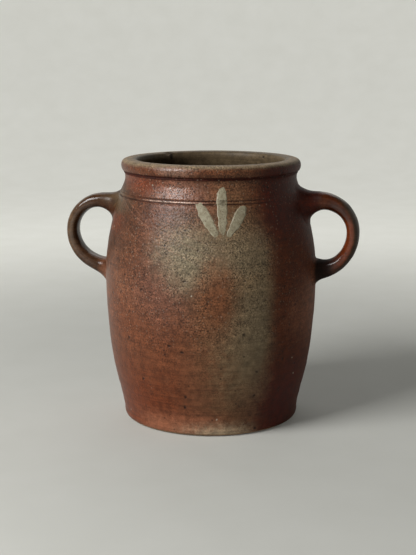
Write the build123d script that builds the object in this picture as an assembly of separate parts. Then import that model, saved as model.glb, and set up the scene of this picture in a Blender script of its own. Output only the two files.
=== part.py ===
from build123d import *
from math import cos, pi
import os

# Thrown body: foot, belly, neck and wall
POT_HEIGHT = 250.0
FOOT_RADIUS = 84.4
FOOT_HEIGHT = 8.0
FOOT_ROUND = 5.0
BELLY_RADIUS = 101.6
BELLY_HEIGHT = 140.0
NECK_RADIUS = 81.7
NECK_DROP = 16.5
WALL = 8.5
FLOOR = 10.0
FLOOR_CORNER = 16.0

# Bends of the wall: share of the rise, share of the change of radius
LOWER_WALL_SHARES = ((0.11, 0.155), (0.33, 0.57), (0.60, 0.85))
UPPER_WALL_SHARES = ((0.22, 0.065), (0.52, 0.32), (0.81, 0.71))

# Rolled collar rim, standing out from the neck and in over the mouth
COLLAR_OVERHANG = 3.7
COLLAR_DROP = 6.6
LIP_OVERHANG = 3.5
LIP_DROP = 5.5
LIP_WIDTH = 8.1
RIM_FULLNESS_SHARE = 0.75
CREASE_RADIUS = 0.9

# Two lines cut into the shoulder
SHOULDER_LINE_DROP = 30.8
SHOULDER_LINE_PITCH = 2.8
SHOULDER_LINE_RADIUS = 0.7

# Pulled strap handles, each its own: middle line below the crest and out from the belly, root and thickness
LEFT_TOP_DROP = 42.9
LEFT_REACH = 37.3
LEFT_LOWER_BEND = 33.5
LEFT_LOWER_TURN = 63.0
LEFT_ROOT_RISE = 5.0
LEFT_ROOT_RISE_LENGTH = 17.0
LEFT_TOP_THICK = 14.8
LEFT_SIDE_THICK = 10.9
LEFT_FOOT_THICK = 14.4
RIGHT_TOP_DROP = 38.0
RIGHT_REACH = 35.3
RIGHT_LOWER_BEND = 38.3
RIGHT_LOWER_TURN = 78.0
RIGHT_ROOT_RISE = 5.5
RIGHT_ROOT_RISE_LENGTH = 24.0
RIGHT_TOP_THICK = 17.8
RIGHT_SIDE_THICK = 12.0
RIGHT_FOOT_THICK = 14.6

# Strap width, upper bend and roots, alike on both handles
STRAP_WIDTH = 21.0
UPPER_BEND = 30.0
ROOT_BURY = 6.0
ROOT_TURN_LENGTH = 20.0
ROOT_SPREAD = 6.0
ROOT_SPREAD_LENGTH = 12.0
UPPER_ROOT_RISE = 4.5
UPPER_ROOT_RISE_LENGTH = 9.0
UPPER_ROOT_DROP = 13.0
UPPER_ROOT_DROP_LENGTH = 22.0
LOWER_ROOT_DROP = 3.5
LOWER_ROOT_DROP_LENGTH = 7.0
SECTION_COUNT = 26
SWELL_POWER_SHARE = 1.3
SECTION_CROWDING_SHARE = 0.5

QUARTER_TURN = 90.0
HALF_TURN = 180.0
UP = (0, 1)
DOWN = (0, -1)


def between(start, end, share):
    """Value a share of the way from start to end."""
    return start + (end - start) * share


def wall_curve(start, end, shares):
    """Wall line from one upright end to the other, through the points that the shares give."""
    bends = [(between(start[0], end[0], across), between(start[1], end[1], rise)) for rise, across in shares]
    way = UP if end[1] > start[1] else DOWN
    return Spline(start, *bends, end, tangents=(way, way))


def turned_shares(shares):
    """The same bends, counted from the other end."""
    return tuple((1 - rise, 1 - across) for rise, across in reversed(shares))


def full_corner(start, corner, end):
    """Rounded corner that keeps closer to the corner point than a circle does."""
    pull_out = tuple(between(a, b, RIM_FULLNESS_SHARE) for a, b in zip(start, corner))
    pull_in = tuple(between(a, b, RIM_FULLNESS_SHARE) for a, b in zip(end, corner))
    return Bezier(start, pull_out, pull_in, end)


def step_curve(start, end):
    """Smooth step between two upright ends."""
    middle = between(start[1], end[1], 1 / 2)
    return Bezier(start, (start[0], middle), (end[0], middle), end)


def crossing(curve, height):
    """Place along a rising wall line where it passes a height."""
    low, high = 0.0, 1.0
    for _ in range(40):
        middle = between(low, high, 1 / 2)
        if (curve @ middle).Y < height:
            low = middle
        else:
            high = middle
    return low


def cut_line(curve, height, radius):
    """Ring that cuts a round line into the wall at a height."""
    return Pos(0, 0, height) * Torus((curve @ crossing(curve, height)).X, radius)


def spun(*lines):
    """Solid turned about the pot's axis from a closed outline."""
    return revolve(Plane.XZ * make_face(Curve() + list(lines)), Axis.Z)


# Outer line of the body, from the foot to the crest
neck_line = POT_HEIGHT - NECK_DROP
collar_line = POT_HEIGHT - COLLAR_DROP
collar_radius = NECK_RADIUS + COLLAR_OVERHANG
mouth_radius = NECK_RADIUS - WALL - LIP_OVERHANG
foot_top = (FOOT_RADIUS, FOOT_HEIGHT)
belly = (BELLY_RADIUS, BELLY_HEIGHT)
neck = (NECK_RADIUS, neck_line)
collar = (collar_radius, collar_line)
crest = (mouth_radius + LIP_WIDTH, POT_HEIGHT)
foot_flat = (FOOT_RADIUS - FOOT_ROUND, 0)
foot_side = (FOOT_RADIUS, FOOT_ROUND)
lower_wall = wall_curve(foot_top, belly, LOWER_WALL_SHARES)
upper_wall = wall_curve(belly, neck, UPPER_WALL_SHARES)
collar_step = step_curve(neck, collar)
outer_lines = [
    Line((0, 0), foot_flat),
    TangentArc(foot_flat, foot_side, tangent=(1, 0)),
    Line(foot_side, foot_top),
    lower_wall,
    upper_wall,
    collar_step,
    full_corner(collar, (collar_radius, POT_HEIGHT), crest),
]

# Inner line of the body, from the crest to the floor
lip = (mouth_radius, POT_HEIGHT - LIP_DROP)
inner_neck = (NECK_RADIUS - WALL, neck_line)
inner_belly = (BELLY_RADIUS - WALL, BELLY_HEIGHT)
inner_foot = (FOOT_RADIUS - WALL, FLOOR + FLOOR_CORNER)
floor_edge = (FOOT_RADIUS - WALL - FLOOR_CORNER, FLOOR)
floor_middle = (0, FLOOR)
inner_lines = [
    full_corner(lip, (mouth_radius, POT_HEIGHT), crest),
    step_curve(lip, inner_neck),
    wall_curve(inner_neck, inner_belly, turned_shares(UPPER_WALL_SHARES)),
    wall_curve(inner_belly, inner_foot, turned_shares(LOWER_WALL_SHARES)),
    TangentArc(inner_foot, floor_edge, tangent=DOWN),
    Line(floor_edge, floor_middle),
]

# Body: full turned form with its cut lines, then hollowed
full_form = spun(*outer_lines, Line(crest, (0, POT_HEIGHT)), Line((0, POT_HEIGHT), (0, 0)))
full_form -= cut_line(collar_step, between(neck_line, collar_line, 1 / 2), CREASE_RADIUS)
for line_drop in (SHOULDER_LINE_DROP, SHOULDER_LINE_DROP + SHOULDER_LINE_PITCH):
    full_form -= cut_line(upper_wall, POT_HEIGHT - line_drop, SHOULDER_LINE_RADIUS)
hollow = spun(*inner_lines, Line(crest, (0, POT_HEIGHT)), Line((0, POT_HEIGHT), floor_middle))
pot_body = full_form - hollow


def strap_path(top_height, reach, bend, turn):
    """Middle line of a handle: out from the shoulder, round, and in to the belly."""
    shoulder = upper_wall @ crossing(upper_wall, top_height)
    run_out = Line((shoulder.X - ROOT_BURY, top_height), (BELLY_RADIUS + reach - UPPER_BEND, top_height))
    upper_bend = JernArc(run_out @ 1, run_out % 1, UPPER_BEND, -QUARTER_TURN)
    lower_bend = JernArc(upper_bend @ 1, upper_bend % 1, bend, -turn)
    start = lower_bend @ 1
    heading = lower_bend % 1
    length = (start.X - BELLY_RADIUS) / -heading.X + ROOT_BURY
    run_in = Line(start, start + heading * length)
    return Wire([run_out, upper_bend, lower_bend, run_in])


def flare(distance, length):
    """Growth at a distance from the wall: whole at the wall, none past the flare's length."""
    return max(0.0, 1 - max(distance, 0) / length) ** 2


def swell(distance, length):
    """Fuller growth: whole at the wall, dying away more evenly than the flare."""
    return max(0.0, 1 - max(distance, 0) / length) ** SWELL_POWER_SHARE


def strap_thick(share, thick_top, thick_side, thick_foot):
    """Thickness along the strap, thinnest at its side, where it was pulled the most."""
    end = thick_top if share < 1 / 2 else thick_foot
    return between(thick_side, end, (1 + cos(2 * pi * share)) / 2)


def strap_section(path, share, shoulder_facing, root, thicks):
    """Oval section of the strap, swelling towards both roots and lying along the wall there."""
    from_upper = path.length * share - ROOT_BURY
    from_lower = path.length * (1 - share) - ROOT_BURY
    heading = path % share
    facing = heading + (shoulder_facing - heading) * flare(from_upper, ROOT_TURN_LENGTH)
    facing += (Vector(-1, 0) - heading) * flare(from_lower, ROOT_TURN_LENGTH)
    outside = UPPER_ROOT_RISE * flare(from_upper, UPPER_ROOT_RISE_LENGTH)
    outside += LOWER_ROOT_DROP * flare(from_lower, LOWER_ROOT_DROP_LENGTH)
    inside = UPPER_ROOT_DROP * flare(from_upper, UPPER_ROOT_DROP_LENGTH)
    rise, rise_length = root
    inside += rise * swell(from_lower, rise_length)
    slant = heading.dot(facing.normalized())
    thick = strap_thick(share, *thicks) / slant + outside + inside
    width = STRAP_WIDTH + 2 * ROOT_SPREAD * flare(min(from_upper, from_lower), ROOT_SPREAD_LENGTH)
    middle = path @ share
    plane = Plane((middle.X, 0, middle.Y), x_dir=(0, 1, 0), z_dir=(facing.X, 0, facing.Y))
    return plane * Pos(0, (outside - inside) / 2) * Ellipse(width / 2, thick / 2)


def handle(top_drop, reach, bend, turn, root, *thicks):
    """One pulled handle on +X, trimmed to seat on the wall."""
    top_height = POT_HEIGHT - top_drop
    path = strap_path(top_height, reach, bend, turn)
    wall_heading = upper_wall % crossing(upper_wall, top_height)
    shoulder_facing = Vector(wall_heading.Y, -wall_heading.X)
    even = [step / (SECTION_COUNT - 1) for step in range(SECTION_COUNT)]
    crowded = [between(share, (1 - cos(pi * share)) / 2, SECTION_CROWDING_SHARE) for share in even]
    sections = [strap_section(path, share, shoulder_facing, root, thicks) for share in crowded]
    return loft(sections) - full_form


right_line = (RIGHT_TOP_DROP, RIGHT_REACH, RIGHT_LOWER_BEND, RIGHT_LOWER_TURN)
right_root = (RIGHT_ROOT_RISE, RIGHT_ROOT_RISE_LENGTH)
right_handle = handle(*right_line, right_root, RIGHT_TOP_THICK, RIGHT_SIDE_THICK, RIGHT_FOOT_THICK)
left_line = (LEFT_TOP_DROP, LEFT_REACH, LEFT_LOWER_BEND, LEFT_LOWER_TURN)
left_root = (LEFT_ROOT_RISE, LEFT_ROOT_RISE_LENGTH)
left_handle = handle(*left_line, left_root, LEFT_TOP_THICK, LEFT_SIDE_THICK, LEFT_FOOT_THICK)
left_handle = Rot(0, 0, HALF_TURN) * left_handle

os.makedirs("parts", exist_ok=True)
export_step(pot_body, "parts/pot_body.step")
export_step(left_handle, "parts/left_handle.step")
export_step(right_handle, "parts/right_handle.step")
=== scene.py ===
"""Dresses the two-handled stoneware pot: thrown body, pulled strap handles and a brushed slip sprig.

Sizes in the classes are millimetres in the part's own frame, and angles are degrees.
"""

import logging
import math
from collections.abc import Callable
from dataclasses import dataclass
from enum import Enum

import bmesh
import bpy
from mathutils import Matrix, Vector, noise


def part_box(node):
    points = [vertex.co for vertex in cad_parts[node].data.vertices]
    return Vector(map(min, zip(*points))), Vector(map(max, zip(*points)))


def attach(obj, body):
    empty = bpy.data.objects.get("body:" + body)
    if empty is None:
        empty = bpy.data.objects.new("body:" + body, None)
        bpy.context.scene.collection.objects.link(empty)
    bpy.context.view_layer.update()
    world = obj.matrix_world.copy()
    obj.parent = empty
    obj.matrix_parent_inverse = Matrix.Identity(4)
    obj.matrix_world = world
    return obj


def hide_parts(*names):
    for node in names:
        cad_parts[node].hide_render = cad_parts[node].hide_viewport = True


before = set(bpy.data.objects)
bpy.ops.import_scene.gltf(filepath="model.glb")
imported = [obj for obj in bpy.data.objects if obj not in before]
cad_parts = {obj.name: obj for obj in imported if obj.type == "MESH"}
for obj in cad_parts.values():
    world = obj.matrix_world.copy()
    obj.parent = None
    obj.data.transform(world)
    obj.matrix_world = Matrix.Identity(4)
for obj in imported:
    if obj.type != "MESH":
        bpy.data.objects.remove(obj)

Piece = bpy.types.Object
Socket = bpy.types.NodeSocket
# Radius and height of a place on the body's outline
Point = tuple[float, float]
# Where something begins and where it ends
Span = tuple[float, float]

LOG = logging.getLogger("pot")
MM = 0.001
# How far round to the right of the part's front the photographed side lies
FRONT_TURN = 12.0
# Room that the rim and the belly leave inside the solid for what is pressed into them
RIM_ROOM = 0.25
BELLY_ROOM = 0.3
# Height on the pot that the lamps point at
LAMP_AIM = 130.0
WORLD_COLOUR = "#eef0f0"
WORLD_STRENGTH = 0.08


def linear(colour: str) -> tuple[float, float, float, float]:
    """Turn an sRGB hex colour to linear values.

    Args:
        colour: The colour as "#rrggbb".

    Returns:
        Red, green, blue and an alpha of one.
    """
    parts = [int(colour[start:start + 2], 16) / 255 for start in (1, 3, 5)]
    return (*[part / 12.92 if part < 0.04045 else ((part + 0.055) / 1.055) ** 2.4 for part in parts], 1.0)


def way_round(around: float) -> Vector:
    """Level way out from the axis, some degrees round to the right of the photographed side."""
    turn = math.radians(around + FRONT_TURN)
    return Vector((math.sin(turn), -math.cos(turn), 0.0))


def squared(place: Vector, squareness: float) -> Vector:
    """Push a point of a unit circle out to the corners: 2 leaves it round, more makes it squarer."""
    return Vector([math.copysign(abs(part) ** (2 / squareness), part) for part in place])


def clear_selection() -> None:
    """Leave edit mode and deselect everything, so that an operator acts on the new piece alone."""
    if bpy.context.object and bpy.context.object.mode != "OBJECT":
        bpy.ops.object.mode_set(mode="OBJECT")
    bpy.ops.object.select_all(action="DESELECT")


def edit_all(piece: Piece) -> None:
    """Take a piece into edit mode with all of it selected.

    Args:
        piece: The piece.
    """
    bpy.context.view_layer.objects.active = piece
    bpy.ops.object.mode_set(mode="EDIT")
    bpy.ops.mesh.select_all(action="SELECT")


def close_up(piece: Piece, merge: float = 0.0, inside: bool = False) -> None:
    """Merge doubled points, turn all faces one way, leave edit mode and smooth the piece.

    Args:
        piece: The piece, selected.
        merge: How near to each other doubled points lie, or 0 to merge none.
        inside: Whether the faces look inwards.
    """
    edit_all(piece)
    if merge:
        bpy.ops.mesh.remove_doubles(threshold=merge * MM)
    bpy.ops.mesh.normals_make_consistent(inside=inside)
    bpy.ops.object.mode_set(mode="OBJECT")
    bpy.ops.object.shade_smooth()


def apply_modifier(piece: Piece, kind: str, **settings: object) -> None:
    """Add one modifier to a piece and apply it.

    Args:
        piece: The piece, in object mode.
        kind: Blender's name for the modifier.
        **settings: The modifier's own settings.
    """
    bpy.context.view_layer.objects.active = piece
    modifier = piece.modifiers.new(kind.title(), kind)
    for name, value in settings.items():
        setattr(modifier, name, value)
    bpy.ops.object.modifier_apply(modifier=modifier.name)


def lay_on(piece: Piece, wall: Piece, stand: float, group: str = "") -> None:
    """Lay points of a piece on the wall.

    Args:
        piece: The piece.
        wall: The finished body.
        stand: How far above the wall the points come to lie.
        group: The vertex group that is laid on, or nothing for all points.
    """
    apply_modifier(
        piece, "SHRINKWRAP", target=wall, wrap_method="NEAREST_SURFACEPOINT", wrap_mode="ABOVE_SURFACE",
        offset=stand * MM, vertex_group=group)


def mark(piece: Piece, name: str, share: Callable[[Vector], float]) -> None:
    """Fill a vertex group by the place of each vertex.

    Args:
        piece: The piece to mark.
        name: The group's name.
        share: Gives the weight at a place in metres, from 0 to 1.
    """
    group = piece.vertex_groups.new(name=name)
    for vertex in piece.data.vertices:
        weight = share(vertex.co)
        if weight > 0:
            group.add([vertex.index], weight, "REPLACE")


@dataclass(frozen=True)
class Unevenness:
    """Hand-made unevenness: how far apart its swells lie across and up the pot, and how deep they go."""

    name: str
    across: float
    upward: float
    depth: float

    def press(self, piece: Piece, group: str) -> None:
        """Press the swells into a piece, in and out alike.

        Args:
            piece: The piece to shape.
            group: The vertex group that takes the swells.
        """
        clear_selection()
        bpy.ops.object.empty_add(location=(0, 0, 0))
        ruler = bpy.context.object
        ruler.scale = (self.across * MM, self.across * MM, self.upward * MM)
        bpy.context.view_layer.update()
        swells = bpy.data.textures.new(self.name, "CLOUDS")
        swells.noise_scale = 1.0
        apply_modifier(
            piece, "DISPLACE", texture=swells, texture_coords="OBJECT", texture_coords_object=ruler,
            vertex_group=group, mid_level=0.5, strength=self.depth * MM)
        bpy.data.objects.remove(ruler)


class Bend(Enum):
    """How the outline passes a point."""

    SMOOTH = "AUTO"
    SHARP = "VECTOR"


@dataclass
class PotBody:
    """The thrown body: foot, wall, collar rim and the two lines cut into the shoulder."""

    height: float
    belly_radius: float
    belly_height: float = 140.0
    foot_radius: float = 84.4
    foot_height: float = 8.0
    foot_round: float = 5.0
    neck_radius: float = 81.7
    neck_drop: float = 16.5
    wall: float = 8.5
    floor: float = 10.0
    floor_corner: float = 16.0
    collar_overhang: float = 3.7
    collar_drop: float = 6.6
    lip_overhang: float = 3.5
    lip_drop: float = 5.5
    lip_width: float = 8.1
    crease_depth: float = 0.8
    crease_half_width: float = 0.9
    line_drops: tuple[float, ...] = (33.6, 30.8)
    line_depth: float = 0.55
    line_half_width: float = 0.7
    # Where round the pot the lines are whole, over how far they fade and what is left of them
    line_middle: float = -45.0
    line_reach: float = 45.0
    line_fade: float = 60.0
    line_least: float = 0.15
    chip_around: float = -143.0
    chip_share: float = 0.3
    chip_size: float = 4.2
    chip_depth: float = 3.4
    rim_calm: float = 0.3
    # Points between two places of the outline, as shares of the way up and of the way out
    lower_wall_shares: tuple[Point, ...] = ((0.11, 0.155), (0.33, 0.57), (0.60, 0.85))
    upper_wall_shares: tuple[Point, ...] = ((0.22, 0.065), (0.52, 0.32))
    shoulder_shares: Point = (0.81, 0.71)
    hollow_shares: Point = (0.93, 0.935)
    step_shares: tuple[Point, ...] = ((0.30, 0.16), (0.70, 0.84))
    rim_shares: tuple[Point, ...] = ((0.47, 0.05), (0.78, 0.22), (0.955, 0.53))
    lip_shares: tuple[Point, ...] = ((0.52, 0.03), (0.82, 0.13), (0.96, 0.36))
    span_steps: int = 7
    spin_steps: int = 200
    merge: float = 0.05
    uneven: tuple[Unevenness, ...] = (
        Unevenness("throwing_rings", 420.0, 5.5, 0.55),
        Unevenness("wall_swells", 95.0, 70.0, 1.1),
    )

    @staticmethod
    def between(start: Point, end: Point, *shares: Point) -> list[Point]:
        """Points between two places, by their shares of the way up and of the way out."""
        wide, high = end[0] - start[0], end[1] - start[1]
        return [(start[0] + wide * out, start[1] + high * up) for up, out in shares]

    @staticmethod
    def bent(bend: Bend, *places: Point) -> list[tuple[Point, Bend]]:
        """Give every place the same bend."""
        return [(place, bend) for place in places]

    @property
    def belly(self) -> Point:
        """The widest place."""
        return self.belly_radius, self.belly_height

    @property
    def neck(self) -> Point:
        """The narrow place below the collar."""
        return self.neck_radius, self.height - self.neck_drop

    @property
    def lip_radius(self) -> float:
        """Radius of the mouth."""
        return self.neck_radius - self.wall - self.lip_overhang

    def wall_points(self, inset: float) -> list[Point]:
        """Points of the wall from the foot to below the shoulder lines.

        Args:
            inset: How far inside the outer wall the points lie.

        Returns:
            Radius and height of each point.
        """
        foot = (self.foot_radius, self.foot_height if inset == 0 else self.floor + self.floor_corner)
        lower = self.between(foot, self.belly, *self.lower_wall_shares)
        upper = self.between(self.belly, self.neck, *self.upper_wall_shares)
        return [(radius - inset, height) for radius, height in (foot, *lower, self.belly, *upper)]

    def shoulder_radius(self, height: float) -> float:
        """Outer radius of the shoulder, on the curve through its last points and the neck.

        Args:
            height: Where on the shoulder.

        Returns:
            The radius there.
        """
        below = self.wall_points(0.0)[-1]
        middle, = self.between(self.belly, self.neck, self.shoulder_shares)
        places = (below, middle, self.neck)
        return sum(
            radius * math.prod((height - other) / (level - other) for _, other in places if other != level)
            for radius, level in places)

    def cut(
        self, wall: Callable[[float], float], height: float, half_width: float, depth: float
    ) -> list[tuple[Point, Bend]]:
        """Points of a round line cut into a wall.

        Args:
            wall: Gives the wall's radius at a height.
            height: Where the line is.
            half_width: Half its width.
            depth: Its depth.

        Returns:
            Its lower edge, its bottom and its upper edge.
        """
        low, high = height - half_width, height + half_width
        return [
            *self.bent(Bend.SHARP, (wall(low), low)),
            *self.bent(Bend.SMOOTH, (wall(height) - depth, height)),
            *self.bent(Bend.SHARP, (wall(high), high)),
        ]

    def outline(self) -> list[tuple[Point, Bend]]:
        """Half outline of the body, from the middle of the base over the rim to the middle of the floor.

        Returns:
            Place and bend of each point.
        """
        foot_corner = self.foot_round * (1 - math.sqrt(0.5))
        floor_corner = self.floor_corner * (1 - math.sqrt(0.5))
        inner_foot = self.foot_radius - self.wall
        collar = (self.neck_radius + self.collar_overhang, self.height - self.collar_drop)
        lip = (self.lip_radius, self.height - self.lip_drop)
        crest = (self.lip_radius + self.lip_width, self.height)
        lower_step, upper_step = self.between(self.neck, collar, *self.step_shares)
        slope = (upper_step[0] - lower_step[0]) / (upper_step[1] - lower_step[1])
        points = self.bent(Bend.SHARP, (0.0, 0.0), (self.foot_radius - self.foot_round, 0.0))
        points += self.bent(
            Bend.SMOOTH, (self.foot_radius - foot_corner, foot_corner), (self.foot_radius, self.foot_round),
            *self.wall_points(0.0))
        for drop in self.line_drops:
            points += self.cut(
                self.shoulder_radius, self.height - drop, self.line_half_width, self.line_depth)
        hollow = self.between(self.belly, self.neck, self.hollow_shares)
        points += self.bent(Bend.SMOOTH, *hollow, self.neck, lower_step)
        points += self.cut(
            lambda height: lower_step[0] + slope * (height - lower_step[1]),
            (lower_step[1] + upper_step[1]) / 2, self.crease_half_width, self.crease_depth)
        points += self.bent(
            Bend.SMOOTH, upper_step, collar, *self.between(collar, crest, *self.rim_shares), crest,
            *reversed(self.between(lip, crest, *self.lip_shares)), lip,
            (self.neck_radius - self.wall, self.neck[1]), *reversed(self.wall_points(self.wall)),
            (inner_foot - floor_corner, self.floor + floor_corner),
            (inner_foot - self.floor_corner, self.floor))
        return points + self.bent(Bend.SHARP, (0.0, self.floor))

    def build(self) -> Piece:
        """Draw the half outline, spin it round the axis and press the thrower's unevenness into the wall.

        Returns:
            The body, closed, with its faces outwards.
        """
        clear_selection()
        bpy.ops.curve.primitive_bezier_curve_add(location=(0, 0, 0))
        piece = bpy.context.object
        piece.name = "thrown_body"
        spline = piece.data.splines[0]
        outline = self.outline()
        spline.bezier_points.add(len(outline) - len(spline.bezier_points))
        for point, ((radius, height), bend) in zip(spline.bezier_points, outline):
            point.handle_left_type = bend.value
            point.handle_right_type = bend.value
            point.co = Vector((radius, 0.0, height)) * MM
        piece.data.resolution_u = self.span_steps
        bpy.ops.object.convert(target="MESH")
        edit_all(piece)
        bpy.ops.mesh.spin(steps=self.spin_steps, angle=2 * math.pi, center=(0, 0, 0), axis=(0, 0, 1))
        close_up(piece, self.merge)
        self.weather(piece)
        mark(piece, "wall", self.thrown_share)
        for unevenness in self.uneven:
            unevenness.press(piece, "wall")
        return piece

    def weather(self, piece: Piece) -> None:
        """Let the shoulder lines fade out towards the right and knock a chip out of the lip.

        Args:
            piece: The spun body.
        """
        lines = [self.height - drop for drop in self.line_drops]
        chip = way_round(self.chip_around) * (self.lip_radius + self.lip_width * self.chip_share)
        chip.z = self.height
        for vertex in piece.data.vertices:
            place = vertex.co / MM
            radius = Vector(place[:2]).length
            near_line = any(abs(place.z - line) <= self.line_half_width for line in lines)
            if near_line and radius > self.neck_radius - self.wall / 2:
                around = math.degrees(math.atan2(place.x, -place.y)) - FRONT_TURN - self.line_middle
                off = abs((around + 180.0) % 360.0 - 180.0)
                kept = min(1.0, max(self.line_least, 1 - (off - self.line_reach) / self.line_fade))
                full = self.shoulder_radius(place.z)
                grow = (full + (radius - full) * kept) / radius
                vertex.co = Vector((place.x * grow, place.y * grow, place.z)) * MM
            knock = 1 - (place - chip).length / self.chip_size
            if knock > 0:
                vertex.co.z -= knock * self.chip_depth * MM

    def thrown_share(self, place: Vector) -> float:
        """Share of the thrower's unevenness: all on the wall, less on the rim, none below.

        Args:
            place: A place on the body, in metres.

        Returns:
            The share, from 0 to 1.
        """
        above_foot = (place.z / MM - self.foot_round) / self.foot_height
        below_rim = (self.height - place.z / MM) / self.neck_drop
        return min(1.0, max(0.0, above_foot), self.rim_calm + max(0.0, below_rim))


@dataclass
class StrapHandle:
    """A pulled strap handle, luted to the shoulder and the belly."""

    name: str
    node: str
    turn: float
    body: PotBody
    top_drop: float
    reach: float
    lower_bend: float
    lower_turn: float
    top_thick: float
    side_thick: float
    foot_thick: float
    root_rise: float
    root_rise_length: float
    upper_bend: float = 30.0
    width: float = 21.0
    squareness: float = 2.5
    slope_step: float = 1.0
    root_turn_length: float = 20.0
    root_spread: float = 6.0
    root_spread_length: float = 12.0
    # How far each root swells above or below the strap, each followed by the length of that swell
    upper_root: tuple[float, float, float, float] = (4.5, 9.0, 13.0, 22.0)
    lower_root: tuple[float, float] = (3.5, 7.0)
    swell_power: float = 1.3
    skirt_share: float = 1.13
    # How far each ring of the feathered clay stands above the wall, from the strap outwards
    skirt_stands: tuple[float, ...] = (1.0, 0.35, -0.4)
    ring_points: int = 28
    stations: int = 24
    subdivisions: int = 2
    uneven: Unevenness = Unevenness("strap_swells", 14.0, 14.0, 0.7)

    @property
    def outermost(self) -> float:
        """Largest radius of the middle line."""
        return self.body.belly_radius + self.reach

    @property
    def top(self) -> float:
        """Height of the middle line at the shoulder."""
        return self.body.height - self.top_drop

    @property
    def run_out(self) -> float:
        """Length of the straight run from the shoulder to the upper bend."""
        return self.outermost - self.upper_bend - self.body.shoulder_radius(self.top)

    @property
    def run_in(self) -> float:
        """Length of the straight run from the lower bend to the belly."""
        turned = math.radians(self.lower_turn)
        return (self.reach - self.lower_bend * (1 - math.cos(turned))) / math.sin(turned)

    @property
    def length(self) -> float:
        """Length of the middle line from wall to wall."""
        arcs = self.upper_bend * math.pi / 2 + self.lower_bend * math.radians(self.lower_turn)
        return self.run_out + arcs + self.run_in

    @property
    def shoulder_slope(self) -> float:
        """Heading that meets the shoulder squarely."""
        step, radius = self.slope_step, self.body.shoulder_radius
        return math.degrees(math.atan2(radius(self.top - step) - radius(self.top + step), 2 * step))

    def path(self, distance: float) -> tuple[float, float, float]:
        """Middle line of the strap, out from the shoulder, round and in to the belly.

        Args:
            distance: How far along the line.

        Returns:
            Radius, height and heading, as degrees above the outward way.
        """
        if distance < self.run_out:
            return self.body.shoulder_radius(self.top) + distance, self.top, 0.0
        distance -= self.run_out
        upper_arc = self.upper_bend * math.pi / 2
        if distance < upper_arc:
            turned = distance / self.upper_bend
            radius = self.outermost - self.upper_bend * (1 - math.sin(turned))
            return radius, self.top - self.upper_bend * (1 - math.cos(turned)), -math.degrees(turned)
        distance -= upper_arc
        turned = min(distance / self.lower_bend, math.radians(self.lower_turn))
        radius = self.outermost - self.lower_bend * (1 - math.cos(turned))
        height = self.top - self.upper_bend - self.lower_bend * math.sin(turned)
        heading = -90.0 - math.degrees(turned)
        run_in = max(0.0, distance - self.lower_bend * math.radians(self.lower_turn))
        slope = math.radians(heading)
        return radius + run_in * math.cos(slope), height + run_in * math.sin(slope), heading

    @staticmethod
    def flare(distance: float, length: float, power: float = 2.0) -> float:
        """Growth at a distance from the wall: whole at the wall, none past the flare's length."""
        return max(0.0, 1 - max(0.0, distance) / length) ** power

    def ring(self, distance: float) -> Matrix:
        """Place of the strap's oval section, which swells towards both roots and lies along the wall there.

        Args:
            distance: How far along the middle line.

        Returns:
            The matrix that takes a unit circle to the section, in metres.
        """
        radius, height, heading = self.path(distance)
        to_go = self.length - distance
        upper_rise, upper_rise_length, upper_drop, upper_drop_length = self.upper_root
        lower_drop, lower_drop_length = self.lower_root
        facing = heading + (self.shoulder_slope - heading) * self.flare(distance, self.root_turn_length)
        facing += (-180.0 - heading) * self.flare(to_go, self.root_turn_length)
        outside = upper_rise * self.flare(distance, upper_rise_length)
        outside += lower_drop * self.flare(to_go, lower_drop_length)
        inside = upper_drop * self.flare(distance, upper_drop_length)
        inside += self.root_rise * self.flare(to_go, self.root_rise_length, self.swell_power)
        share = distance / self.length
        end_thick = self.top_thick if share < 0.5 else self.foot_thick
        thick = self.side_thick + (end_thick - self.side_thick) * (1 + math.cos(2 * math.pi * share)) / 2
        thick = thick / math.cos(math.radians(facing - heading)) + outside + inside
        width = self.width + 2 * self.root_spread * self.flare(min(distance, to_go), self.root_spread_length)
        across = Vector((0.0, 1.0, 0.0)) * width / 2
        outward = Vector((-math.sin(math.radians(facing)), 0.0, math.cos(math.radians(facing))))
        middle = Vector((radius, 0.0, height)) + outward * (outside - inside) / 2
        along = outward.cross(across).normalized()
        columns = [part * MM for part in (across, outward * thick / 2, along, middle)]
        placed = Matrix([[*column, 0.0] for column in columns]).transposed()
        placed[3][3] = 1.0
        return Matrix.Rotation(math.radians(self.turn), 4, "Z") @ placed

    def build(self, wall: Piece) -> Piece:
        """Extrude the strap ring by ring, seat both ends on the wall and feather the luted clay out over it.

        Args:
            wall: The finished body.

        Returns:
            The handle.
        """
        even = [step / (self.stations - 1) for step in range(self.stations)]
        spaced = [(share + (1 - math.cos(math.pi * share)) / 2) / 2 for share in even]
        clear_selection()
        bpy.ops.mesh.primitive_circle_add(vertices=self.ring_points, radius=1.0, location=(0, 0, 0))
        piece = bpy.context.object
        piece.name = self.name
        for vertex in piece.data.vertices:
            vertex.co = squared(vertex.co, self.squareness)
        edit_all(piece)
        placed = Matrix.Identity(4)
        for index, share in enumerate(spaced):
            if index:
                bpy.ops.mesh.extrude_region_move()
            ring = self.ring(share * self.length)
            form = bmesh.from_edit_mesh(piece.data)
            chosen = [vertex for vertex in form.verts if vertex.select]
            bmesh.ops.transform(form, matrix=ring @ placed.inverted(), verts=chosen)
            bmesh.update_edit_mesh(piece.data)
            placed = ring
        bpy.ops.object.mode_set(mode="OBJECT")
        for step, stand in enumerate(self.skirt_stands):
            if step:
                self.spread_skirt(piece)
            self.seat(piece, wall, stand)
        close_up(piece)
        apply_modifier(piece, "SUBSURF", levels=self.subdivisions, render_levels=self.subdivisions)
        mark(piece, "strap", self.strap_share)
        self.uneven.press(piece, "strap")
        return piece

    def strap_share(self, place: Vector) -> float:
        """Share of the strap's unevenness at a place: all on the strap, none at the wall."""
        clear = Vector(place[:2]).length / MM - self.body.belly_radius
        return min(1.0, max(0.0, clear / self.root_spread))

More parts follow.
